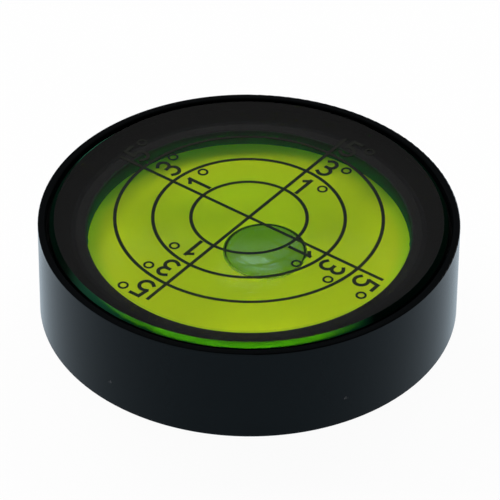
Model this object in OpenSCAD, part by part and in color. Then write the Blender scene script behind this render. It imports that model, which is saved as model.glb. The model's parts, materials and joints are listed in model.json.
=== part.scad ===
// Circular bubble level: a sealed vial with a domed lens, bonded into a turned metal case.
// The origin is the centre of the base face and +Z points up through the lens.
// The lens is hollowed by a large sphere, so the bubble runs to the highest point under it.
// Heights add up from the case floor: pad, vial floor, dial, fluid and lens, which stands just over the rim.

/* [Case] */
// Outside diameter of the case
case_d = 60; // [54:0.5:90]
// Wall between the outside of the case and its bore
case_wall = 1.1; // [0.8:0.05:2]
// Solid floor under the vial
case_floor = 4; // [1.5:0.1:8]
// Round on the outer edge of the rim
case_rim_round = 0.15; // [0.1:0.05:0.6]
// Chamfer on the inner edge of the rim
case_lip_chamfer = 0.15; // [0.05:0.05:0.4]
// Chamfer round the base
case_base_chamfer = 0.2; // [0.1:0.05:0.6]
// Height of the lens above the rim
lens_rise = 0.3; // [0.1:0.05:0.6]

/* [Vial cup] */
// Gap all round between the vial and the bore
vial_gap = 0.55; // [0.2:0.05:1.5]
// Wall of the cup, which also shows as the black border of the dial
cup_wall = 5.2; // [4:0.05:8]
// Floor of the cup
cup_floor = 1.8; // [1:0.1:4]
// Chamfer round the underside of the cup
cup_chamfer = 0.5; // [0.2:0.1:1]
// Chamfer at the mouth of the fluid chamber
mouth_chamfer = 0.25; // [0.1:0.05:0.5]
// Depth of fluid at the wall, from the dial to the lens seat
fluid_depth = 4.2; // [4:0.1:8]

/* [Lens] */
// Thickness of the lens at its seat
lens_edge = 3.9; // [3:0.1:8]
// Chamfer on the top edge of the lens
lens_chamfer = 0.65; // [0.2:0.05:1.2]
// Radius of the hollow sphere under the lens
dome_radius = 155; // [120:5:220]

/* [Seal] */
// Distance from the chamber wall to the seal groove
seal_inset = 1.5; // [0.6:0.1:2]
// Width of the seal
seal_w = 0.7; // [0.6:0.1:1.5]
// Height of the seal, pressed flat
seal_h = 0.8; // [0.4:0.1:1.5]

/* [Dial and fluid] */
// Thickness of the dial
dial_t = 1; // [0.5:0.1:2]
// Width of the bubble
bubble_d = 12; // [8:0.1:14]
// Thickness of the bubble
bubble_h = 2.6; // [2:0.1:3]
// Radius of the rounded edge of the bubble
bubble_edge = 1.6; // [1.2:0.1:1.9]
// Tilt that the bubble shows at rest, in degrees
bubble_tilt = 2.2; // [0:0.1:4]
// Direction of the bubble from the centre, in degrees from +X
bubble_bearing = -67; // [-180:1:180]

/* [Fill plug] */
// Diameter of the filling hole
plug_d = 2; // [1:0.1:2.6]
// Diameter of the plug's head
plug_head_d = 3.2; // [2.8:0.1:4]
// Thickness of the plug's head
plug_head_t = 0.9; // [0.5:0.1:1.5]
// Depth of the head below the outside of the cup
plug_sink = 0.2; // [0.15:0.05:0.5]

/* [Bonding] */
// Diameter of the adhesive pad under the vial
pad_d = 50; // [30:1:52]
// Thickness of the adhesive pad
pad_t = 0.4; // [0.2:0.1:1]
// Depth of the sealant below the rim
sealant_depth = 1.8; // [1.5:0.1:3]
// Height of the sealant ring
sealant_h = 4; // [2:0.1:6]

/* [Print] */
// Bubble width that the degree rings are drawn for
index_d = 11.1; // [8:0.1:14]
// Width of the printed lines
line_w = 0.5; // [0.2:0.05:0.8]
// Thickness of the ink
ink_t = 0.05; // [0.03:0.01:0.1]
// Tip to tip length of each line of the cross
cross_d = 46.8; // [42:0.2:50]
// Direction of the first arm of the cross, in degrees from +X
cross_bearing = 53.2; // [0:0.1:90]

/* [Clearances] */
// Between pieces that are pressed or cemented together
fit_gap = 0.02; // [0.01:0.01:0.05]
// Between the dial and the chamber wall
dial_gap = 0.1; // [0.05:0.05:0.3]
// Between the fluid and the walls that hold it
fluid_gap = 0.1; // [0.05:0.05:0.2]
// Film of fluid that the bubble keeps from the lens and from its pocket
bubble_gap = 0.1; // [0.05:0.05:0.2]

/* [Hidden] */
$fn = 128;
dome_fn = 1440;
over = 1; // how far a cut runs past the piece it opens

bore_r = case_d / 2 - case_wall;
vial_r = bore_r - vial_gap;
cavity_r = vial_r - cup_wall;
bubble_r = bubble_d / 2;

cup_z = case_floor + pad_t;
dial_z = cup_z + cup_floor;
fluid_z = dial_z + dial_t;
seat_z = fluid_z + fluid_depth;
lens_z = seat_z + lens_edge;
rim_z = lens_z - lens_rise;
plug_z = fluid_z + fluid_depth / 2;
dome_z = seat_z - sqrt(pow(dome_radius, 2) - pow(cavity_r, 2)); // centre of the hollow sphere

// Ring of square section from r1 out to r2, with its underside at z
module ring(r1, r2, z, h) {
  translate([0, 0, z])
    rotate_extrude()
      translate([r1, 0])
        square([r2 - r1, h]);
}

// Triangle that cuts a 45 degree chamfer from the corner of a profile, dx and dy pointing into it
module corner_cut(x, y, size, dx, dy) {
  polygon([
    [x - dx * over, y - dy * over],
    [x + dx * size, y - dy * over],
    [x + dx * size, y],
    [x, y + dy * size],
    [x - dx * over, y + dy * size]
  ]);
}

// Turned cup, anodised black, with a softened rim
module housing() {
  color("#17171c")
    rotate_extrude()
      difference() {
        union() {
          square([case_d / 2 - case_rim_round, rim_z]);
          square([case_d / 2, rim_z - case_rim_round]);
          translate([case_d / 2 - case_rim_round, rim_z - case_rim_round])
            circle(case_rim_round);
        }
        translate([0, case_floor])
          square([bore_r, rim_z]);
        corner_cut(case_d / 2, 0, case_base_chamfer, -1, 1);
        corner_cut(bore_r, rim_z, case_lip_chamfer, 1, -1);
      }
}

// Adhesive pad that holds the vial down on the case floor
module bond_pad() {
  color("#b9b7ad")
    translate([0, 0, case_floor])
      cylinder(d = pad_d, h = pad_t);
}

// Moulded black cup with the fluid chamber, the seal groove and the filling hole
module vial_cup() {
  groove_r = cavity_r + seal_inset;
  color("#1b1c1e")
    difference() {
      rotate_extrude()
        difference() {
          translate([0, cup_z])
            square([vial_r, seat_z - cup_z]);
          translate([0, dial_z])
            square([cavity_r, seat_z]);
          translate([groove_r, seat_z - seal_h])
            square([seal_w, seal_h + over]);
          corner_cut(vial_r, cup_z, cup_chamfer, -1, 1);
          corner_cut(cavity_r, seat_z, mouth_chamfer, 1, -1);
        }
      translate([0, 0, plug_z])
        rotate([90, 0, 0]) {
          cylinder(d = plug_d, h = vial_r + over);
          translate([0, 0, vial_r - plug_sink - plug_head_t])
            cylinder(d = plug_head_d + 2 * fit_gap, h = case_d);
        }
    }
}

// Headed plug that closes the filling hole from outside the cup
module fill_plug() {
  head_y = vial_r - plug_sink;
  color("#2a2a2a")
    translate([0, 0, plug_z])
      rotate([90, 0, 0]) {
        translate([0, 0, cavity_r + fit_gap])
          cylinder(d = plug_d - 2 * fit_gap, h = head_y - cavity_r - fit_gap);
        translate([0, 0, head_y - plug_head_t])
          cylinder(d = plug_head_d, h = plug_head_t);
      }
}

// Bright disc that the bubble is read against
module dial_disc() {
  color("#b4cc22")
    translate([0, 0, dial_z])
      cylinder(r = cavity_r - dial_gap, h = dial_t);
}

// Half section of the bubble, with y measured from the centre of the hollow sphere
module bubble_section(grow, top) {
  core_r = bubble_r - bubble_edge;
  ceiling = dome_radius - bubble_gap;
  translate([0, ceiling - bubble_h - grow])
    square([core_r, bubble_h + grow + top]);
  intersection() {
    translate([core_r, ceiling - bubble_h + bubble_edge])
      circle(bubble_edge + grow);
    translate([0, ceiling - bubble_d])
      square(2 * bubble_d);
  }
}

// Turns a child about the centre of the hollow sphere to where the bubble lies at rest
module at_bubble() {
  translate([0, 0, dome_z])
    rotate([0, bubble_tilt, bubble_bearing])
      children();
}

// Green tinted spirit that fills the chamber round the bubble
module spirit_fluid() {
  color("#9fc030", 0.6)
    difference() {
      rotate_extrude()
        intersection() {
          translate([0, fluid_z + fluid_gap])
            square([cavity_r - fluid_gap, rim_z]);
          translate([0, dome_z])
            circle(dome_radius - fluid_gap, $fn = dome_fn);
        }
      at_bubble()
        rotate_extrude()
          bubble_section(bubble_gap, over);
    }
}

// Flattened bubble under the dome
module air_bubble() {
  color("#e4f0c8", 0.5)
    at_bubble()
      rotate_extrude()
        intersection() {
          bubble_section(0, over);
          circle(dome_radius - bubble_gap, $fn = dome_fn);
        }
}

// Square section seal pressed into the groove of the cup by the lens
module lens_seal() {
  groove_r = cavity_r + seal_inset;
  color("#26272a")
    ring(groove_r + fit_gap, groove_r + seal_w - fit_gap, seat_z - seal_h, seal_h);
}

// Clear lens, flat on top and hollowed underneath by the large sphere
module lens() {
  color("#dfe8e4", 0.35)
    rotate_extrude()
      difference() {
        translate([0, seat_z])
          square([vial_r, lens_edge]);
        corner_cut(vial_r, lens_z, lens_chamfer, -1, -1);
        translate([0, dome_z])
          circle(dome_radius, $fn = dome_fn);
      }
}

// Black sealant run into the gap between the vial and the bore
module edge_sealant() {
  color("#0c0c0d")
    ring(vial_r + fit_gap, bore_r - fit_gap, rim_z - sealant_depth - sealant_h, sealant_h);
}

// Radius of the ring that the edge of the bubble reaches at a given tilt
function ring_r(degrees) = index_d / 2 + dome_radius * sin(degrees);

// Printed ring for one angle of tilt
module degree_ring(degrees) {
  color("#14170f")
    ring(ring_r(degrees) - line_w / 2, ring_r(degrees) + line_w / 2, lens_z, ink_t);
}

module ring_1_degree() { degree_ring(1); }

module ring_3_degree() { degree_ring(3); }

module ring_5_degree() { degree_ring(5); }

// Two printed lines that cross at the centre, broken where the rings run over them
module cross_lines() {
  color("#14170f")
    difference() {
      for (turn = [0, 90])
        rotate([0, 0, cross_bearing + turn])
          translate([-cross_d / 2, -line_w / 2, lens_z])
            cube([cross_d, line_w, ink_t]);
      for (degrees = [1, 3, 5])
        ring(ring_r(degrees) - line_w / 2, ring_r(degrees) + line_w / 2, lens_z - over, 2 * over);
    }
}

housing();
bond_pad();
vial_cup();
fill_plug();
dial_disc();
spirit_fluid();
air_bubble();
lens_seal();
lens();
edge_sealant();
ring_1_degree();
ring_3_degree();
ring_5_degree();
cross_lines();
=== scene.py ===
# %% [markdown]
# # A circular bubble level
# A squat black case holds a sealed vial: a black cup, a bright dial, green spirit with a bubble in it,
# and a clear lens that carries the printed rings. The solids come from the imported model, in metres and
# in their final places. This script gives each surface its finish, and models what a solid can't show
# well: the polished lens, the spirit, the bubble and the printed numbers.

# %% Load the frame
import json
import math

import bmesh
import bpy
from mathutils import Matrix, Vector


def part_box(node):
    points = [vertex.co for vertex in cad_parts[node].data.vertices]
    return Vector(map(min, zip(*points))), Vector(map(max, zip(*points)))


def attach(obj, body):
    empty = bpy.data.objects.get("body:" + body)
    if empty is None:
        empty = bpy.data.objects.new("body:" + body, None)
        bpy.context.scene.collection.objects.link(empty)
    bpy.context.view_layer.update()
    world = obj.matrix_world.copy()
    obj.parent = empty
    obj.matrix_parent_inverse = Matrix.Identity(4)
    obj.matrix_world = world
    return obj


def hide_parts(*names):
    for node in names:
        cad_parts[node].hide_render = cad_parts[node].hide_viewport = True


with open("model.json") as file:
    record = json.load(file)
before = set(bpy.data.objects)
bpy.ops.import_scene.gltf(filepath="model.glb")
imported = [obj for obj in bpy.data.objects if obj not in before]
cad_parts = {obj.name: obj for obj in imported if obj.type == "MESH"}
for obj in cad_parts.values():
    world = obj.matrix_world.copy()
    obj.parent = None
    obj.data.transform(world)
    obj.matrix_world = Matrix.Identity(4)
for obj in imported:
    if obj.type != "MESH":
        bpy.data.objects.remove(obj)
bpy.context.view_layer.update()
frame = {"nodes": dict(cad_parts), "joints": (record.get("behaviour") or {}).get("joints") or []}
MM = 0.001

# %% [markdown]
# ## Measures taken from the frame
# Every new piece has to sit where the solids say, so its sizes are read from them. A round piece's radius
# is the largest X of its box. The centre of the dome's sphere is the pivot of the bubble's own hinge, and
# the direction in which the bubble lies is square to that hinge's axis.

# %% Read the sizes
case_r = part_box("housing")[1].x
rim_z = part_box("housing")[1].z
seat_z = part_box("lens")[0].z
lens_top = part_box("lens")[1].z
lens_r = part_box("lens")[1].x
seal_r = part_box("lens_seal")[1].x
dial_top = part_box("dial_disc")[1].z
chamber_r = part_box("spirit_fluid")[1].x
ink_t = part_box("cross_lines")[1].z - lens_top

joints = {joint["name"]: joint for joint in frame["joints"]}
dome_centre = Vector(joints["bubble_tilt"]["pos_m"])
hinge_axis = Vector(joints["bubble_tilt"]["axis"])
bubble_bearing = math.atan2(-hinge_axis.x, hinge_axis.y)
print("lens is", round(2 * lens_r / MM, 2), "mm wide, chamber", round(2 * chamber_r / MM, 2), "mm")
print("bubble lies at", round(math.degrees(bubble_bearing), 1), "degrees from +X")

# %% [markdown]
# ## Camera
# The camera's place was found by fitting a cylinder to the outline of the case in the photograph: it
# stands about 0.6 m away with a long lens, looks down at 38 degrees and leans by under a degree. The
# object sits a little low in the frame, so the camera is moved up along its own picture and its shift
# stays at zero.

# %% Set up the camera
CAMERA_ELEVATION = math.radians(38.37)
CAMERA_DISTANCE = 584.5 * MM
CAMERA_LENS = 294.1
CAMERA_ROLL = math.radians(0.51)
CAMERA_RAISE = 1.468 * MM
CAMERA_RIGHT = 0.189 * MM
SENSOR_WIDTH = 36
NEAR_LIMIT = 10 * MM

camera_data = bpy.data.cameras.new("camera")
camera_data.lens = CAMERA_LENS
camera_data.sensor_width = SENSOR_WIDTH
camera_data.clip_start = NEAR_LIMIT
camera = bpy.data.objects.new("camera", camera_data)
bpy.context.scene.collection.objects.link(camera)
lean_back = Matrix.Rotation(math.radians(90) - CAMERA_ELEVATION, 4, "X")
turn = lean_back @ Matrix.Rotation(CAMERA_ROLL, 4, "Z")
aim = Vector((0, 0, rim_z / 2))
stand = aim + turn @ Vector((CAMERA_RIGHT, CAMERA_RAISE, CAMERA_DISTANCE))
camera.matrix_world = Matrix.Translation(stand) @ turn
bpy.context.scene.camera = camera
bpy.context.scene.view_settings.view_transform = "Standard"
print("camera at", [round(v, 4) for v in stand])

# %% [markdown]
# ## Colours and nodes
# Colours are written as the sRGB hex values that a paint program shows. Shaders work in linear light, so
# one function turns a hex value into linear numbers. Another adds one node to a material, with its
# settings and with its inputs set to numbers or linked to other nodes. A new material starts with a
# Principled shader, whose own sockets are set in the same way.

# %% Helpers for materials
def linear(hex_colour):
    channels = [int(hex_colour[i : i + 2], 16) / 255 for i in (1, 3, 5)]
    curve = [c / 12.92 if c <= 0.04045 else ((c + 0.055) / 1.055) ** 2.4 for c in channels]
    return (*curve, 1.0)


def set_inputs(tree, node, inputs):
    for name, value in inputs.items():
        if isinstance(value, bpy.types.NodeSocket):
            tree.links.new(value, node.inputs[name])
        else:
            node.inputs[name].default_value = value


def add_node(tree, kind, inputs=None, **settings):
    made = tree.nodes.new(kind)
    for name, value in settings.items():
        setattr(made, name, value)
    set_inputs(tree, made, inputs or {})
    return made


def new_material(name):
    material = bpy.data.materials.new(name)
    material.use_nodes = True
    return material


def opened(material):
    tree = material.node_tree
    return tree, tree.nodes["Principled BSDF"]


print("white is", linear("#ffffff")[:3])

# %% [markdown]
# ## Black anodised aluminium
# The case is turned from aluminium bar and then anodised: the metal gets a hard, porous oxide that soaks
# up black dye. The eye sees a blue-black satin, nearly without shine when looked at squarely and bright
# only at grazing angles, with fine circles left by the lathe. The dye lies in clear oxide, so the finish
# is a dark dielectric and not a mirror. Lathe marks are about 0.1 mm apart, too fine for the picture, so
# they are drawn 0.4 mm apart. They run round the axis, so the pattern reads only radius and height.

# %% Lathe marks and dye
LATHE_PITCH = 0.4 * MM
DYE_CLOUD = 9 * MM
SATIN_LEAST = 0.18
SATIN_MOST = 0.27
BUMP_DEPTH = 0.02 * MM


def from_axis(tree, place):
    level = add_node(tree, "ShaderNodeVectorMath", {0: place, 1: (1, 1, 0)}, operation="MULTIPLY")
    length = add_node(tree, "ShaderNodeVectorMath", {0: level.outputs[0]}, operation="LENGTH")
    return length.outputs["Value"]


anodised = new_material("black_anodised_aluminium")
tree, shader = opened(anodised)
place = add_node(tree, "ShaderNodeTexCoord").outputs["Object"]
height = add_node(tree, "ShaderNodeSeparateXYZ", {0: place}).outputs["Z"]
across = add_node(tree, "ShaderNodeCombineXYZ", {"X": from_axis(tree, place), "Z": height})
lathe = add_node(
    tree,
    "ShaderNodeTexNoise",
    {"Vector": across.outputs[0], "Scale": 1 / LATHE_PITCH, "Detail": 2},
)
satin = add_node(
    tree,
    "ShaderNodeMapRange",
    {"Value": lathe.outputs["Fac"], "To Min": SATIN_LEAST, "To Max": SATIN_MOST},
)
marks = add_node(
    tree,
    "ShaderNodeBump",
    {"Height": lathe.outputs["Fac"], "Strength": 0.05, "Distance": BUMP_DEPTH},
)
cloud = add_node(tree, "ShaderNodeTexNoise", {"Vector": place, "Scale": 1 / DYE_CLOUD, "Detail": 3})
dye = add_node(
    tree,
    "ShaderNodeMix",
    {"Factor": cloud.outputs["Fac"], "A": linear("#06080a"), "B": linear("#0a0d10")},
    data_type="RGBA",
)
print("lathe marks are drawn", LATHE_PITCH / MM, "mm apart")

# %% [markdown]
# Two more things show on the case. A few specks of dust lie on it: they are the rare peaks of a noise.
# And the thin lip of the rim was polished, so its shine is sharper than the satin of the wall; its colour
# is painted blacker as well, a painted shade for the dim top of the rim. The lip is simply the highest
# part of the case, so the height picks its finish.

# %% Dust and the polished lip
DUST_GAP = 1.6 * MM
DUST_START = 0.79
DUST_FULL = 0.83
DUST_COVER = 0.5
LIP_START = 0.5 * MM
LIP_FULL = 0.3 * MM
LIP_ROUGHNESS = 0.07

specks = add_node(tree, "ShaderNodeTexNoise", {"Vector": place, "Scale": 1 / DUST_GAP, "Detail": 1})
dust = add_node(
    tree,
    "ShaderNodeMapRange",
    {
        "Value": specks.outputs["Fac"],
        "From Min": DUST_START,
        "From Max": DUST_FULL,
        "To Max": DUST_COVER,
    },
)
dusty = add_node(
    tree,
    "ShaderNodeMix",
    {"Factor": dust.outputs[0], "A": dye.outputs["Result"], "B": linear("#77777a")},
    data_type="RGBA",
)
lip = add_node(
    tree,
    "ShaderNodeMapRange",
    {"Value": height, "From Min": rim_z - LIP_START, "From Max": rim_z - LIP_FULL},
)
# Painted shade: the lip's colour is blacker than the wall's, to match its dim top.
painted_dark_lip = add_node(
    tree,
    "ShaderNodeMix",
    {"Factor": lip.outputs[0], "A": dusty.outputs["Result"], "B": linear("#040506")},
    data_type="RGBA",
)
polish = add_node(
    tree,
    "ShaderNodeMix",
    {"Factor": lip.outputs[0], "A": satin.outputs[0], "B": LIP_ROUGHNESS},
    data_type="FLOAT",
)
set_inputs(
    tree,
    shader,
    {
        "Base Color": painted_dark_lip.outputs["Result"],
        "Roughness": polish.outputs["Result"],
        "Normal": marks.outputs[0],
        "Specular IOR Level": 0.075,
        "Specular Tint": linear("#e4f8ff"),
    },
)
print("made", anodised.name, "with a polished lip", LIP_FULL / MM, "mm high")

# %% [markdown]
# ## Moulded black plastic, rubber and foam
# The cup is black ABS with the faint grain of a spark-eroded mould. The seal and the plug are rubber,
# duller and a little greyer. The sealant in the gap is the blackest, and the foam pad under the cup is a
# dull grey. All have a fine grain, so one function makes them, with a soft bump and a slight change of
# shade.

# %% Cup, seal, plug, sealant and pad finishes
GRAIN = 0.25 * MM


def moulded(name, dark, light, roughness, gloss):
    material = new_material(name)
    tree, shader = opened(material)
    place = add_node(tree, "ShaderNodeTexCoord").outputs["Object"]
    grain = add_node(tree, "ShaderNodeTexNoise", {"Vector": place, "Scale": 1 / GRAIN, "Detail": 2})
    shade = add_node(
        tree,
        "ShaderNodeMix",
        {"Factor": grain.outputs["Fac"], "A": linear(dark), "B": linear(light)},
        data_type="RGBA",
    )
    pits = add_node(
        tree,
        "ShaderNodeBump",
        {"Height": grain.outputs["Fac"], "Strength": 0.1, "Distance": BUMP_DEPTH},
    )
    set_inputs(
        tree,
        shader,
        {
            "Base Color": shade.outputs["Result"],
            "Normal": pits.outputs[0],
            "Roughness": roughness,
            "Specular IOR Level": gloss,
        },
    )
    return material


black_abs = moulded("moulded_black_abs", "#0a0b0b", "#101111", roughness=0.6, gloss=0.0)
seal_rubber = moulded("black_rubber", "#101113", "#17181a", roughness=0.7, gloss=0.0)
sealant = moulded("cured_black_sealant", "#030303", "#060606", roughness=0.5, gloss=0.05)
foam = moulded("adhesive_foam", "#8f8d84", "#b9b7ad", roughness=0.9, gloss=0.2)
print("made", black_abs.name, seal_rubber.name, sealant.name, foam.name)

# %% [markdown]
# Inside the chamber the same black cup is painted green: painted light that stands in for the dial's glow
# seen through the dyed spirit, most where the wall meets the dial and less towards the lens. The wall
# differs from the rest of the cup only by its distance from the axis, so that distance picks the colour,
# and the height paints the shading.

# %% Painted dial glow on the chamber wall
WALL_SKIN = 0.25 * MM

tree, shader = opened(black_abs)
plain = shader.inputs["Base Color"].links[0].from_socket
place = tree.nodes["Texture Coordinate"].outputs["Object"]
height = add_node(tree, "ShaderNodeSeparateXYZ", {0: place}).outputs["Z"]
climb = add_node(
    tree,
    "ShaderNodeMapRange",
    {"Value": height, "From Min": dial_top, "From Max": seat_z},
)
# Painted light: the dial's green glow on the black wall, brightest at the dial and darker towards the
# lens.
painted_wall_glow = add_node(
    tree,
    "ShaderNodeMix",
    {"Factor": climb.outputs[0], "A": linear("#0d6e40"), "B": linear("#082a1c")},
    data_type="RGBA",
)
inside = add_node(
    tree,
    "ShaderNodeMath",
    {0: from_axis(tree, place), 1: chamber_r + WALL_SKIN},
    operation="LESS_THAN",
)
painted_glow_on_wall = add_node(
    tree,
    "ShaderNodeMix",
    {"Factor": inside.outputs[0], "A": plain, "B": painted_wall_glow.outputs["Result"]},
    data_type="RGBA",
)
set_inputs(tree, shader, {"Base Color": painted_glow_on_wall.outputs["Result"]})
print("cup is green within", round((chamber_r + WALL_SKIN) / MM, 2), "mm of the axis")

# %% [markdown]
# ## Dial
# The disc under the spirit is a yellow-green plastic with a matte face. A fine mottle of pigment keeps it
# from looking like a screen colour. Next to the wall it is painted greener and less red, a painted shade
# for the wall's shadow filled by green light. A faint green glow of its own is painted too, standing in
# for the fluorescence of its dye, so that its shaded edge stays green.

# %% Dial finish
PIGMENT = 0.5 * MM
WALL_SHADE_WIDTH = 2.5 * MM

dial = new_material("yellow_green_plastic")
tree, shader = opened(dial)
place = add_node(tree, "ShaderNodeTexCoord").outputs["Object"]
mottle = add_node(tree, "ShaderNodeTexNoise", {"Vector": place, "Scale": 1 / PIGMENT, "Detail": 3})
tone = add_node(
    tree,
    "ShaderNodeMix",
    {"Factor": mottle.outputs["Fac"], "A": linear("#f4da0a"), "B": linear("#fbe210")},
    data_type="RGBA",
)
# Painted shade: within a few millimetres of the wall the colour turns greener and less red.
wall_shade_mask = add_node(
    tree,
    "ShaderNodeMapRange",
    {"Value": from_axis(tree, place), "From Min": chamber_r - WALL_SHADE_WIDTH, "From Max": chamber_r},
    interpolation_type="SMOOTHSTEP",
)
painted_wall_shade = add_node(
    tree,
    "ShaderNodeMix",
    {"Factor": wall_shade_mask.outputs[0], "A": tone.outputs["Result"], "B": linear("#d8da0a")},
    data_type="RGBA",
)
matte_face = add_node(
    tree,
    "ShaderNodeBump",
    {"Height": mottle.outputs["Fac"], "Strength": 0.08, "Distance": BUMP_DEPTH},
)
# Painted glow: the faint green emission stands in for the dye's fluorescence and lights the shaded edge.
set_inputs(
    tree,
    shader,
    {
        "Base Color": painted_wall_shade.outputs["Result"],
        "Normal": matte_face.outputs[0],
        "Roughness": 0.65,
        "Specular IOR Level": 0.05,
        "Emission Color": linear("#30ff50"),
        "Emission Strength": 0.05,
    },
)
print("made", dial.name)

# %% [markdown]
# ## Printed ink
# The rings, cross and numbers are pad printed in black on top of the lens. Ink is matte, and a real print
# has tiny thin spots, so the black varies a little.

# %% Ink finish
INK_SPOTS = 0.2 * MM

ink = new_material("printed_black_ink")
tree, shader = opened(ink)
place = add_node(tree, "ShaderNodeTexCoord").outputs["Object"]
spots = add_node(tree, "ShaderNodeTexNoise", {"Vector": place, "Scale": 1 / INK_SPOTS, "Detail": 2})
black = add_node(
    tree,
    "ShaderNodeMix",
    {"Factor": spots.outputs["Fac"], "A": linear("#1f211e"), "B": linear("#2a2c28")},
    data_type="RGBA",
)
set_inputs(
    tree,
    shader,
    {"Base Color": black.outputs["Result"], "Roughness": 0.6, "Specular IOR Level": 0.0},
)
print("made", ink.name)

# %% [markdown]
# ## Polished acrylic
# The lens is clear acrylic, whose index of 1.49 says how much it bends light. Polishing by hand or with a
# flame leaves the faces a little wavy, over some millimetres, which makes reflections swim. A broad noise
# in a weak bump gives that, and no roughness, because the polish itself is clean.

# %% Lens finish
ACRYLIC_IOR = 1.49
POLISH_WAVE = 5 * MM
POLISH_DEPTH = 0.05 * MM


def clear(name, ior, tint, roughness=0.0):
    material = new_material(name)
    tree, shader = opened(material)
    set_inputs(
        tree,
        shader,
        {
            "Base Color": linear(tint),
            "Roughness": roughness,
            "IOR": ior,
            "Transmission Weight": 1.0,
        },
    )
    return material


acrylic = clear("polished_acrylic", ACRYLIC_IOR, "#fbfdfc")
tree, shader = opened(acrylic)
place = add_node(tree, "ShaderNodeTexCoord").outputs["Object"]
swell = add_node(tree, "ShaderNodeTexNoise", {"Vector": place, "Scale": 1 / POLISH_WAVE, "Detail": 1})
wave = add_node(
    tree,
    "ShaderNodeBump",
    {"Height": swell.outputs["Fac"], "Strength": 0.1, "Distance": POLISH_DEPTH},
)
set_inputs(tree, shader, {"Normal": wave.outputs[0]})
print("made", acrylic.name)

# %% [markdown]
# ## Turned edge of the lens
# The chamfer was left as it came off the lathe, so it is hazy. Its green is painted light: its tint and
# the green tint of its reflections stand in for the glow of the spirit's light in the edge. Two colour
# ramps run across the width of the case, dark at both ends and bright in the middle: one sets the colour,
# the other how much light the chamfer lets through. The dark ends are painted shade, where the green arc
# fades. Their stops are shares of that width, from left to right.

# %% Chamfer finish
EDGE_ROUGHNESS = 0.28
PAINTED_GLOW_TINT = "#40cf9c"
ARC_SHADE = linear("#03100a")
SHUT = (0, 0, 0, 1)
OPEN = (0.94, 0.94, 0.94, 1)
ARC_SHADE_ENDS = (0.08, 0.79)
ARC_GLOW_MIDDLE = (0.42, 0.58)
SHUT_ENDS = (0.06, 0.79)
OPENED = (0.24, 0.66)

cut_acrylic = clear("turned_acrylic_edge", ACRYLIC_IOR, PAINTED_GLOW_TINT, EDGE_ROUGHNESS)
tree, shader = opened(cut_acrylic)
place = add_node(tree, "ShaderNodeTexCoord").outputs["Object"]
sideways = add_node(tree, "ShaderNodeSeparateXYZ", {0: place}).outputs["X"]
along = add_node(
    tree,
    "ShaderNodeMapRange",
    {"Value": sideways, "From Min": -case_r, "From Max": case_r},
)
# Painted shade: both ramps darken the green arc towards its left and right ends.
painted_arc_shade = add_node(tree, "ShaderNodeValToRGB", {"Fac": along.outputs[0]})
opening = add_node(tree, "ShaderNodeValToRGB", {"Fac": along.outputs[0]})
fades = (
    (painted_arc_shade, ARC_SHADE_ENDS, ARC_SHADE, ARC_GLOW_MIDDLE, linear(PAINTED_GLOW_TINT)),
    (opening, SHUT_ENDS, SHUT, OPENED, OPEN),
)
for ramp, ends, dark, middle, bright in fades:
    stops = ramp.color_ramp.elements
    for stop, spot in zip(stops, ends):
        stop.position = spot
        stop.color = dark
    for spot in middle:
        stops.new(spot).color = bright
# Painted light: the green colour and Specular Tint colour what passes and what mirrors in the chamfer.
set_inputs(
    tree,
    shader,
    {
        "Base Color": painted_arc_shade.outputs["Color"],
        "Transmission Weight": opening.outputs["Color"],
        "Specular IOR Level": 0.0,
        "Specular Tint": linear("#2fb860"),
    },
)
print("made", cut_acrylic.name)

# %% [markdown]
# ## Wetted acrylic, spirit and air
# Light bends where one clear thing meets another, by the ratio of their indices. Where the spirit wets
# the dome, the ratio is 1.49 over 1.36, so the dome's faces carry their own material. The spirit's own
# skin then bends nothing, and only takes colour from the light by its depth. A bubble is air inside
# spirit, a ratio below one, which a Glass shader takes.

# %% Clear materials inside the vial
SPIRIT_IOR = 1.36
DYE_DENSITY = 80

wet_acrylic = clear("acrylic_wetted_by_spirit", ACRYLIC_IOR / SPIRIT_IOR, "#ffffff")

spirit = clear("green_spirit", 1.0, "#ffffff")
tree = spirit.node_tree
dyed = add_node(
    tree,
    "ShaderNodeVolumeAbsorption",
    {"Color": linear("#c0f700"), "Density": DYE_DENSITY},
)
set_inputs(tree, tree.nodes["Material Output"], {"Volume": dyed.outputs[0]})

air = new_material("air_in_spirit")
tree, shader = opened(air)
tree.nodes.remove(shader)
# Painted shade: the grey-green glass colour darkens the dial seen through the bubble, in place of its
# shade.
gas = add_node(
    tree,
    "ShaderNodeBsdfGlass",
    {"Color": linear("#c4dedf"), "Roughness": 0.0, "IOR": 1 / SPIRIT_IOR},
)
set_inputs(tree, tree.nodes["Material Output"], {"Surface": gas.outputs[0]})
print("made", wet_acrylic.name, spirit.name, air.name)

# %% [markdown]
# ## Turning a piece
# The lens, the spirit and the bubble are all round, so each is made as on a lathe: a half section is
# drawn by extruding one vertex from point to point, and spun about the axis. Merging the doubles closes
# the seam and the poles, and the normals are then turned outwards. An edge stays sharp where its faces
# meet at more than the crease angle, and is shaded smooth elsewhere.

# %% Lathe helper
TURN_STEPS = 192
WELD = 0.001 * MM


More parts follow.
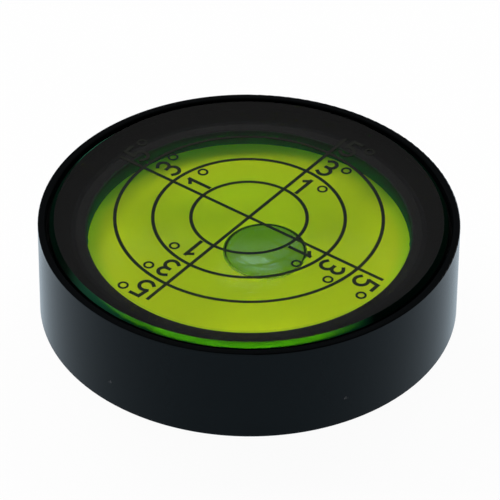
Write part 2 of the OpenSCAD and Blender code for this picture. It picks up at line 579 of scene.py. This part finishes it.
def turned(name, section, crease):
    bpy.ops.object.select_all(action="DESELECT")
    start = Vector((section[0][0], 0, section[0][1]))
    bpy.ops.mesh.primitive_plane_add(size=MM, location=(0, 0, 0))
    piece = bpy.context.object
    piece.name = name
    bpy.ops.object.mode_set(mode="EDIT")
    bpy.ops.mesh.merge(type="CENTER")
    bpy.ops.transform.translate(value=start)
    for (r0, z0), (r1, z1) in zip(section, section[1:]):
        bpy.ops.mesh.extrude_region_move(TRANSFORM_OT_translate={"value": (r1 - r0, 0, z1 - z0)})
    bpy.ops.mesh.select_all(action="SELECT")
    bpy.ops.mesh.spin(steps=TURN_STEPS, angle=2 * math.pi, center=(0, 0, 0), axis=(0, 0, 1))
    bpy.ops.mesh.select_all(action="SELECT")
    bpy.ops.mesh.remove_doubles(threshold=WELD)
    bpy.ops.mesh.normals_make_consistent(inside=False)
    bpy.ops.object.mode_set(mode="OBJECT")
    bpy.ops.object.shade_smooth_by_angle(angle=math.radians(crease))
    return piece


def arc(centre, radius, first, last, count):
    angles = [math.radians(first + (last - first) * i / count) for i in range(count + 1)]
    return [(centre[0] + radius * math.cos(a), centre[1] + radius * math.sin(a)) for a in angles]


print("a turned piece has", TURN_STEPS, "steps round")

# %% [markdown]
# ## Lens
# The lens is a polished disc, flat on top, and hollowed underneath by a sphere of 155 mm radius. Its edge
# has a turned chamfer, which catches green light from the spirit: looking in there, one sees the underside
# of the lens as a mirror, because inside the seal a film of air lies under it; that green is also painted
# into the chamfer's tint. Outside the seal the cement wets the lens, so there it is sunk a hair into the
# cup and shows the black below.

# %% Model the lens
DOME_R = 155 * MM
LENS_CHAMFER = 0.65 * MM
SEAL_W = 0.7 * MM
AIR_FILM = 0.03 * MM
CEMENTED = 0.01 * MM
DOME_STEPS = 40
CLEAR_CREASE = 3

film_z = seat_z + AIR_FILM
bond_z = seat_z - CEMENTED
film_r = seal_r - SEAL_W
hollow_r = math.sqrt(DOME_R**2 - (film_z - dome_centre.z) ** 2)
hollow_edge = math.degrees(math.asin(hollow_r / DOME_R))
hollow = arc((0, dome_centre.z), DOME_R, 90 - hollow_edge, 90, DOME_STEPS)
edge = [(0, lens_top), (lens_r - LENS_CHAMFER, lens_top), (lens_r, lens_top - LENS_CHAMFER)]
seat = [(lens_r, bond_z), (film_r, bond_z), (film_r, film_z)]
lens = turned("clear_lens", edge + seat + hollow, CLEAR_CREASE)
print("lens has", len(lens.data.polygons), "faces")
print("its hollow is", round(2 * hollow_r / MM, 2), "mm wide")

# %% [markdown]
# One mesh can carry several materials, and each face says which it has by a number. The way a face points
# and its distance from the axis tell where it is: under the dome it is wet with spirit, on the chamfer it
# is turned, and on the upright wall it is covered with sealant. The rest is polished.

# %% Finish the faces of the lens
FACES_DOWN = -0.5
CHAMFER_SLOPES = (0.5, 0.9)
UPRIGHT = 0.1

lens_finishes = [acrylic, wet_acrylic, cut_acrylic, sealant]
for finish in lens_finishes:
    lens.data.materials.append(finish)
for face in lens.data.polygons:
    reach = math.hypot(face.center.x, face.center.y)
    slope = face.normal.z
    at_edge = reach > lens_r - LENS_CHAMFER
    if reach < hollow_r and slope < FACES_DOWN:
        face.material_index = lens_finishes.index(wet_acrylic)
    elif at_edge and CHAMFER_SLOPES[0] < slope < CHAMFER_SLOPES[1]:
        face.material_index = lens_finishes.index(cut_acrylic)
    elif at_edge and abs(slope) < UPRIGHT:
        face.material_index = lens_finishes.index(sealant)
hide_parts("lens")
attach(lens, "case")
print("lens carries", len(lens.data.materials), "materials")

# %% [markdown]
# ## Spirit
# The spirit fills the chamber up to the dome. It has no pocket for the bubble, so that it looks right
# wherever the bubble runs: the bubble's own skin bends the light there. Its floor is sunk a hair into the
# dial, so that light meets the dial while it is still inside the spirit, with no gap between them.

# %% Model the spirit
FLUID_GAP = 0.1 * MM
FLUID_SINK = 0.01 * MM

fluid_floor = dial_top - FLUID_SINK
fluid_dome_r = DOME_R - FLUID_GAP / 2
fluid_edge = math.degrees(math.asin(chamber_r / fluid_dome_r))
fluid_roof = arc((0, dome_centre.z), fluid_dome_r, 90 - fluid_edge, 90, DOME_STEPS)
fluid_base = [(0, fluid_floor), (chamber_r, fluid_floor)]
fluid = turned("green_spirit", fluid_base + fluid_roof, CLEAR_CREASE)
fluid.data.materials.append(spirit)
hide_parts("spirit_fluid")
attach(fluid, "fluid")
print("spirit has", len(fluid.data.polygons), "faces")

# %% [markdown]
# ## Bubble
# Under a nearly flat lens a bubble is a pancake. Its roof lies against the dome, its floor is flat, and
# its edge swells out between them, rounder below than above. The half section is drawn with the sphere's
# centre as its origin, spun, and then swung about that centre to where the bubble stood in the photograph.
# Light that the dial scatters doesn't meet it, because a clear bubble hardly shades the dial; the darker
# green seen through the bubble is painted shade, in the grey-green tint of its glass.

# %% Model the bubble
BUBBLE_R = 6 * MM
BUBBLE_UPPER = 1.2 * MM
BUBBLE_LOWER = 1.4 * MM
BUBBLE_GAP = 0.1 * MM
BUBBLE_TILT = math.radians(2.2)
BUBBLE_CREASE = 25
UPPER_EDGE_END = 80
ROOF_INSET = 0.2
EDGE_STEPS = 16

bubble_h = BUBBLE_UPPER + BUBBLE_LOWER
roof_r = DOME_R - BUBBLE_GAP
waist_z = roof_r - BUBBLE_UPPER
lower_edge = arc((BUBBLE_R - BUBBLE_LOWER, waist_z), BUBBLE_LOWER, -90, 0, EDGE_STEPS)
upper_edge = arc((BUBBLE_R - BUBBLE_UPPER, waist_z), BUBBLE_UPPER, 0, UPPER_EDGE_END, EDGE_STEPS)
roof_edge = math.degrees(math.asin((BUBBLE_R - BUBBLE_UPPER) / roof_r))
roof = arc((0, 0), roof_r, 90 - roof_edge + ROOF_INSET, 90, EDGE_STEPS)
bubble_section = [(0, roof_r - bubble_h)] + lower_edge + upper_edge[1:] + roof
bubble = turned("air_bubble_skin", bubble_section, BUBBLE_CREASE)
swing = Matrix.Rotation(bubble_bearing, 4, "Z") @ Matrix.Rotation(BUBBLE_TILT, 4, "Y")
bubble.data.transform(Matrix.Translation(dome_centre) @ swing)
bubble.data.materials.append(air)
bubble.visible_diffuse = False
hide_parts("air_bubble")
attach(bubble, "bubble")
print("bubble has", len(bubble.data.polygons), "faces")

# %% [markdown]
# ## Numbers
# Beside each arm of the cross stand a 1, a 3 and a 5 with degree signs, in a plain drafting hand. A pen
# stroke is easy to model: an edge as wide as the pen is pushed along lines and spun along arcs, and leaves
# a ribbon behind it. Each ribbon is then raised to the thickness of the ink.

# %% Pen strokes
PEN = 0.54 * MM
ARC_STEP = 12


def raise_ink():
    bpy.ops.mesh.select_all(action="SELECT")
    bpy.ops.mesh.extrude_region_move(TRANSFORM_OT_translate={"value": (0, 0, ink_t)})
    bpy.ops.mesh.select_all(action="SELECT")
    bpy.ops.mesh.normals_make_consistent(inside=False)
    bpy.ops.object.mode_set(mode="OBJECT")


def stroke(start, heading, *moves):
    bpy.ops.object.select_all(action="DESELECT")
    bpy.ops.mesh.primitive_plane_add(size=PEN)
    ribbon = bpy.context.object
    bpy.ops.object.mode_set(mode="EDIT")
    bpy.ops.transform.translate(value=(PEN / 2, 0, 0))
    mesh = bmesh.from_edit_mesh(ribbon.data)
    for corner in mesh.verts:
        corner.select = corner.co.x > PEN / 2
    mesh.select_flush(False)
    tip = Vector((PEN, 0, 0))
    facing = 0.0
    for kind, *size in moves:
        ahead = Vector((math.cos(facing), math.sin(facing), 0))
        if kind == "line":
            bpy.ops.mesh.extrude_region_move(TRANSFORM_OT_translate={"value": ahead * size[0] * MM})
            tip = tip + ahead * size[0] * MM
            continue
        bend, degrees = size[0] * MM, size[1]
        side = Vector((-ahead.y, ahead.x, 0)) * math.copysign(bend, degrees)
        centre = tip + side
        steps = max(2, round(abs(degrees) / ARC_STEP))
        bpy.ops.mesh.spin(steps=steps, angle=-math.radians(degrees), center=centre, axis=(0, 0, 1))
        tip = centre + Matrix.Rotation(math.radians(degrees), 3, "Z") @ -side
        facing += math.radians(degrees)
    raise_ink()
    spot = Matrix.Translation((start[0] * MM, start[1] * MM, 0))
    ribbon.data.transform(spot @ Matrix.Rotation(math.radians(heading), 4, "Z"))
    return ribbon


print("pen is", round(PEN / MM, 2), "mm wide and its ink", round(ink_t / MM, 2), "mm thick")

# %% [markdown]
# Strokes that cross or meet are merged into one solid, because two black faces in one place would
# flicker. A stroke's start is given in millimetres from the foot of the digit, its heading in degrees.

# %% Draw the digits
def merged(strokes):
    first = strokes[0]
    for other in strokes[1:]:
        join = first.modifiers.new("join", "BOOLEAN")
        join.operation = "UNION"
        join.solver = "EXACT"
        join.object = other
        bpy.ops.object.select_all(action="DESELECT")
        bpy.context.view_layer.objects.active = first
        bpy.ops.object.modifier_apply(modifier=join.name)
        bpy.data.objects.remove(other)
    return first


one = merged([stroke((0, 0), 90, ("line", 3.46)), stroke((0.12, 3.76), 217, ("line", 0.8))])
three = merged(
    [
        stroke((-0.91, 3.27), 35, ("arc", 0.82, -215)),
        stroke((-0.54, 2.094), 0, ("arc", 0.93, -215), ("line", 0.55)),
    ]
)
five = merged(
    [
        stroke((1.08, 3.7), 180, ("line", 1.3)),
        stroke((-0.52, 3.97), 263, ("line", 1.5)),
        stroke((-0.935, 1.946), 25, ("arc", 1.0, -245), ("line", 0.5)),
    ]
)
print("digits have", [len(digit.data.polygons) for digit in (one, three, five)], "faces")

# %% [markdown]
# Each number stands on the clockwise side of its arm and reads outwards, so the foot of the digit points
# to the centre. Its degree sign is a disc, inset by the width of a finer pen, whose middle is deleted.
# One set is drawn and copied to all four arms.

# %% Place the numbers
DEGREE_R = 0.79 * MM
DEGREE_PEN = 0.32 * MM
DEGREE_SIDES = 48
CROSS_BEARING = math.radians(53.2)
ARMS = 4


def degree_sign(place):
    bpy.ops.object.select_all(action="DESELECT")
    bpy.ops.mesh.primitive_circle_add(vertices=DEGREE_SIDES, radius=DEGREE_R, fill_type="NGON")
    sign = bpy.context.object
    bpy.ops.object.mode_set(mode="EDIT")
    bpy.ops.mesh.inset(thickness=DEGREE_PEN)
    bpy.ops.mesh.delete(type="FACE")
    raise_ink()
    sign.data.transform(Matrix.Translation((place[0] * MM, place[1] * MM, 0)))
    return sign


places = {
    "1": (one, (1.96, 8.42), (4.37, 11.62)),
    "3": (three, (2.0, 14.1), (4.55, 17.22)),
    "5": (five, (1.97, 19.78), (4.57, 22.93)),
}
for value, (digit, digit_place, sign_place) in places.items():
    digit.data.transform(Matrix.Translation((digit_place[0] * MM, digit_place[1] * MM, 0)))
    sign = degree_sign(sign_place)
    copies = []
    for arm in range(ARMS):
        bearing = CROSS_BEARING + arm * 2 * math.pi / ARMS
        reading = Matrix.Translation((0, 0, lens_top)) @ Matrix.Rotation(bearing - math.pi / 2, 4, "Z")
        for model in (digit, sign):
            copy = bpy.data.objects.new("number", model.data.copy())
            bpy.context.scene.collection.objects.link(copy)
            copy.data.transform(reading)
            copies.append(copy)
    bpy.data.objects.remove(digit)
    bpy.data.objects.remove(sign)
    bpy.ops.object.select_all(action="DESELECT")
    for copy in copies:
        copy.select_set(True)
    bpy.context.view_layer.objects.active = copies[0]
    bpy.ops.object.join()
    number = bpy.context.object
    number.name = "numbers_" + value + "_degree"
    number.data.materials.append(ink)
    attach(number, "case")
    print(number.name, "has", len(number.data.polygons), "faces")

# %% [markdown]
# ## Finishes of the solids
# The case, the cup, the dial, the print and what is bonded between them keep their solids, which are
# exact already. Each takes its finish in place of the plain colour that it was packed with.

# %% Dress the solids
finishes = {
    "housing": anodised,
    "vial_cup": black_abs,
    "fill_plug": seal_rubber,
    "lens_seal": seal_rubber,
    "edge_sealant": sealant,
    "bond_pad": foam,
    "dial_disc": dial,
    "ring_1_degree": ink,
    "ring_3_degree": ink,
    "ring_5_degree": ink,
    "cross_lines": ink,
}
for name, finish in finishes.items():
    solid = frame["nodes"][name]
    solid.data.materials.clear()
    solid.data.materials.append(finish)
print("dressed", len(finishes), "solids")

# %% [markdown]
# ## White paper floor
# The level stands on white paper. Nearly all the light comes from behind, which would leave it grey, so
# whoever looks at it, straight, in a mirror or through something clear, sees mostly a white of its own.
# Light that the paper scatters stays that of matte paper. Its mirror image is painted a cooler, bluish
# white: a painted reflection that gives the black anodising its bluish shine.

# %% Lay the paper
FLOOR_SIZE = 8
FLOOR_DROP = 0.02 * MM
OWN_WHITE = 0.96
PAINTED_BLUISH_MIRROR = (0.93, 1.11, 1.25, 1)


def looked_at(tree, path):
    direct = add_node(
        tree,
        "ShaderNodeMath",
        {0: path.outputs["Is Camera Ray"], 1: path.outputs["Is Glossy Ray"]},
        operation="MAXIMUM",
    )
    any_look = add_node(
        tree,
        "ShaderNodeMath",
        {0: direct.outputs[0], 1: path.outputs["Is Transmission Ray"]},
        operation="MAXIMUM",
    )
    return any_look.outputs[0]


bpy.ops.object.select_all(action="DESELECT")
bpy.ops.mesh.primitive_plane_add(size=FLOOR_SIZE, location=(0, 0, -FLOOR_DROP))
floor = bpy.context.object
floor.name = "floor"
paper = new_material("white_paper")
tree, shader = opened(paper)
set_inputs(
    tree,
    shader,
    {"Base Color": linear("#f4f4f4"), "Roughness": 0.9, "Specular IOR Level": 0.0},
)
path = add_node(tree, "ShaderNodeLightPath")
share = add_node(tree, "ShaderNodeMath", {0: looked_at(tree, path), 1: OWN_WHITE}, operation="MULTIPLY")
# Painted reflection: mirrors see the paper bluish white, so the case's shine turns bluish.
painted_bluish_mirror = add_node(
    tree,
    "ShaderNodeMix",
    {"Factor": path.outputs["Is Glossy Ray"], "A": (1, 1, 1, 1), "B": PAINTED_BLUISH_MIRROR},
    data_type="RGBA",
)
glow = add_node(tree, "ShaderNodeEmission", {"Color": painted_bluish_mirror.outputs["Result"], "Strength": 1.0})
mixed = add_node(
    tree,
    "ShaderNodeMixShader",
    {0: share.outputs[0], 1: shader.outputs[0], 2: glow.outputs[0]},
)
set_inputs(tree, tree.nodes["Material Output"], {"Surface": mixed.outputs[0]})
floor.data.materials.append(paper)
print("floor is", FLOOR_SIZE, "m wide")

# %% [markdown]
# ## Bright sky behind the level
# A large soft light stands behind the level, a little to the left, as a window would. The world draws it:
# a direction's dot product with the window's direction says how near the two are. The light starts some
# way above the horizon and fades with height, so that it comes in low and the dial is lit through the
# lens.

# %% Back light
BACK_LEFT = (-0.2, 0.98, 0)
BACK_START = 0.25
BACK_FULL = 0.75
RISE_START = 0.12
RISE_FULL = 0.3
TAPER_START = 0.35
TAPER_END = 0.75
TAPER_REST = 0.08

world = bpy.data.worlds.new("studio")
bpy.context.scene.world = world
world.use_nodes = True
tree = world.node_tree
look = add_node(tree, "ShaderNodeTexCoord").outputs["Generated"]
up = add_node(tree, "ShaderNodeSeparateXYZ", {0: look}).outputs["Z"]
backward = add_node(tree, "ShaderNodeVectorMath", {0: look, 1: BACK_LEFT}, operation="DOT_PRODUCT")
behind = add_node(
    tree,
    "ShaderNodeMapRange",
    {"Value": backward.outputs["Value"], "From Min": BACK_START, "From Max": BACK_FULL},
    interpolation_type="SMOOTHSTEP",
)
low = add_node(
    tree,
    "ShaderNodeMapRange",
    {
        "Value": up,
        "From Min": TAPER_START,
        "From Max": TAPER_END,
        "To Min": 1.0,
        "To Max": TAPER_REST,
    },
)
above = add_node(tree, "ShaderNodeMapRange", {"Value": up, "From Min": RISE_START, "From Max": RISE_FULL})
lit = add_node(tree, "ShaderNodeMath", {0: behind.outputs[0], 1: low.outputs[0]}, operation="MULTIPLY")
raised = add_node(tree, "ShaderNodeMath", {0: lit.outputs[0], 1: above.outputs[0]}, operation="MULTIPLY")
print("back light comes from", BACK_LEFT)

# %% [markdown]
# ## Dark card and glint
# Photographers hang a black card where a shiny face would mirror the light into the camera. Here the card
# is a round patch of sky, some 30 degrees up behind the level, which the faces of the lens mirror. A
# smaller patch higher up is bright again and gives the clear pieces a glint.

# %% Patches in the sky
CARD_ELEVATION = math.radians(34)
CARD_OUTER = math.radians(14)
CARD_INNER = math.radians(8)
GLINT_ELEVATION = math.radians(54)
GLINT_OUTER = math.radians(5.8)
GLINT_INNER = math.radians(4.8)
GLINT_SHARE = 0.5


def patch(elevation, outer, inner, outside, inside):
    direction = (0, math.cos(elevation), math.sin(elevation))
    nearness = add_node(tree, "ShaderNodeVectorMath", {0: look, 1: direction}, operation="DOT_PRODUCT")
    blend = add_node(
        tree,
        "ShaderNodeMapRange",
        {
            "Value": nearness.outputs["Value"],
            "From Min": math.cos(outer),
            "From Max": math.cos(inner),
            "To Min": outside,
            "To Max": inside,
        },
        interpolation_type="SMOOTHSTEP",
    )
    return blend.outputs[0]


card = patch(CARD_ELEVATION, CARD_OUTER, CARD_INNER, 1.0, 0.0)
glint = patch(GLINT_ELEVATION, GLINT_OUTER, GLINT_INNER, 0.0, GLINT_SHARE)
carded = add_node(tree, "ShaderNodeMath", {0: raised.outputs[0], 1: card}, operation="MULTIPLY")
bright = add_node(tree, "ShaderNodeMath", {0: carded.outputs[0], 1: glint}, operation="MAXIMUM")
print("card is", round(math.degrees(2 * CARD_OUTER)), "degrees wide")

# %% [markdown]
# ## Which rays see the bright sky
# In a studio, flags and screens keep a light off one face and let it reach another. A render can ask each
# ray what it last met. Light that something matte has scattered sees the bright sky, so the dial is lit
# by it. A ray that comes straight from a mirror sees a dim, even sky, so that the black case stays black.
# A ray that leaves through something clear counts as mirrored too, and sees the bright sky only high up.

# %% Sort the rays
CLEAR_VIEW_START = 0.56
CLEAR_VIEW_FULL = 0.66

path = add_node(tree, "ShaderNodeLightPath")
matte = add_node(tree, "ShaderNodeMath", {0: 1.0, 1: path.outputs["Is Glossy Ray"]}, operation="SUBTRACT")
scattered = add_node(
    tree,
    "ShaderNodeMath",
    {0: matte.outputs[0], 1: path.outputs["Diffuse Depth"]},
    operation="MAXIMUM",
    use_clamp=True,
)
upper = add_node(
    tree,
    "ShaderNodeMapRange",
    {"Value": up, "From Min": CLEAR_VIEW_START, "From Max": CLEAR_VIEW_FULL},
)
through = add_node(
    tree,
    "ShaderNodeMath",
    {0: upper.outputs[0], 1: path.outputs["Is Transmission Ray"]},
    operation="MULTIPLY",
)
unmirrored = add_node(
    tree,
    "ShaderNodeMath",
    {0: scattered.outputs[0], 1: through.outputs[0]},
    operation="MAXIMUM",
)
clear_view = math.degrees(math.asin(CLEAR_VIEW_START))
print("clear pieces see the bright sky above", round(clear_view), "degrees")

# %% [markdown]
# ## The whole sky
# The bright sky is added to an even one, dim for mirrored rays and nearly black for the rest. Low down a
# white band carries the paper on past the horizon. It is only a backdrop: light that goes to it straight
# from a matte face doesn't see it, so it lights next to nothing.

# %% Add up the sky
BACK_LIGHT = 11.4
MIRRORED_SKY = 0.15
FRONT_SKY = 0.02
HORIZON_START = 0.16
HORIZON_FULL = 0.06

shown = add_node(
    tree,
    "ShaderNodeMath",
    {0: bright.outputs[0], 1: unmirrored.outputs[0]},
    operation="MULTIPLY",
)
even = add_node(
    tree,
    "ShaderNodeMapRange",
    {"Value": unmirrored.outputs[0], "To Min": MIRRORED_SKY, "To Max": FRONT_SKY},
)
sky = add_node(
    tree,
    "ShaderNodeMath",
    {0: shown.outputs[0], 1: BACK_LIGHT, 2: even.outputs[0]},
    operation="MULTIPLY_ADD",
)
horizon = add_node(
    tree,
    "ShaderNodeMapRange",
    {"Value": up, "From Min": HORIZON_FULL, "From Max": HORIZON_START, "To Min": 1.0, "To Max": 0.0},
)
backdrop = add_node(
    tree,
    "ShaderNodeMath",
    {0: horizon.outputs[0], 1: looked_at(tree, path)},
    operation="MULTIPLY",
)
whole = add_node(
    tree,
    "ShaderNodeMath",
    {0: sky.outputs[0], 1: backdrop.outputs[0]},
    operation="MAXIMUM",
)
set_inputs(
    tree,
    tree.nodes["Background"],
    {"Color": (1, 1, 1, 1), "Strength": whole.outputs[0]},
)
print("back light is", BACK_LIGHT, "times white")

# %% [markdown]
# ## Soft box over the near edge
# By the back light alone the near edge of the dial comes out too dim. A small soft box close over that
# edge fills it in. Its strength is zero for a ray that nothing matte has scattered yet, so neither the
# lens nor the bubble shows it as a white streak.

# %% Near soft box
SOFT_BOX_PLACE = Vector((5 * MM, -30 * MM, 45 * MM))
SOFT_BOX_AIM = Vector((5 * MM, -25 * MM, dial_top))
SOFT_BOX_WIDTH = 40 * MM
SOFT_BOX_DEPTH = 20 * MM
SOFT_BOX_WATTS = 0.007

soft_box_data = bpy.data.lights.new("near_soft_box", "AREA")
soft_box_data.shape = "RECTANGLE"
soft_box_data.size = SOFT_BOX_WIDTH
soft_box_data.size_y = SOFT_BOX_DEPTH
soft_box_data.energy = SOFT_BOX_WATTS
soft_box_data.use_nodes = True
box_tree = soft_box_data.node_tree
box_path = add_node(box_tree, "ShaderNodeLightPath")
after_scatter = add_node(
    box_tree,
    "ShaderNodeMath",
    {0: box_path.outputs["Diffuse Depth"], 1: 1.0},
    operation="MULTIPLY",
    use_clamp=True,
)
set_inputs(box_tree, box_tree.nodes["Emission"], {"Strength": after_scatter.outputs[0]})
soft_box = bpy.data.objects.new("near_soft_box", soft_box_data)
bpy.context.scene.collection.objects.link(soft_box)
soft_box.location = SOFT_BOX_PLACE
soft_box.rotation_euler = (SOFT_BOX_AIM - SOFT_BOX_PLACE).to_track_quat("-Z", "Y").to_euler()
soft_box.visible_camera = False
soft_box.visible_glossy = False
print("soft box hangs", round(SOFT_BOX_PLACE.z / MM), "mm over the paper")

# %% [markdown]
# ## Bounces
# Light has to pass the lens, the spirit and the bubble on its way in and again on its way out, and bends
# or turns back at every face, so it needs many more bounces than an opaque object. Cycles can blur the
# sharp bounces that follow a matte one. That is turned off, because the dial's light goes just that way.

# %% Let light through
BOUNCES = 24

cycles = bpy.context.scene.cycles
cycles.blur_glossy = 0.0
cycles.max_bounces = BOUNCES
cycles.transmission_bounces = BOUNCES
print("light may turn", cycles.max_bounces, "times on its way")
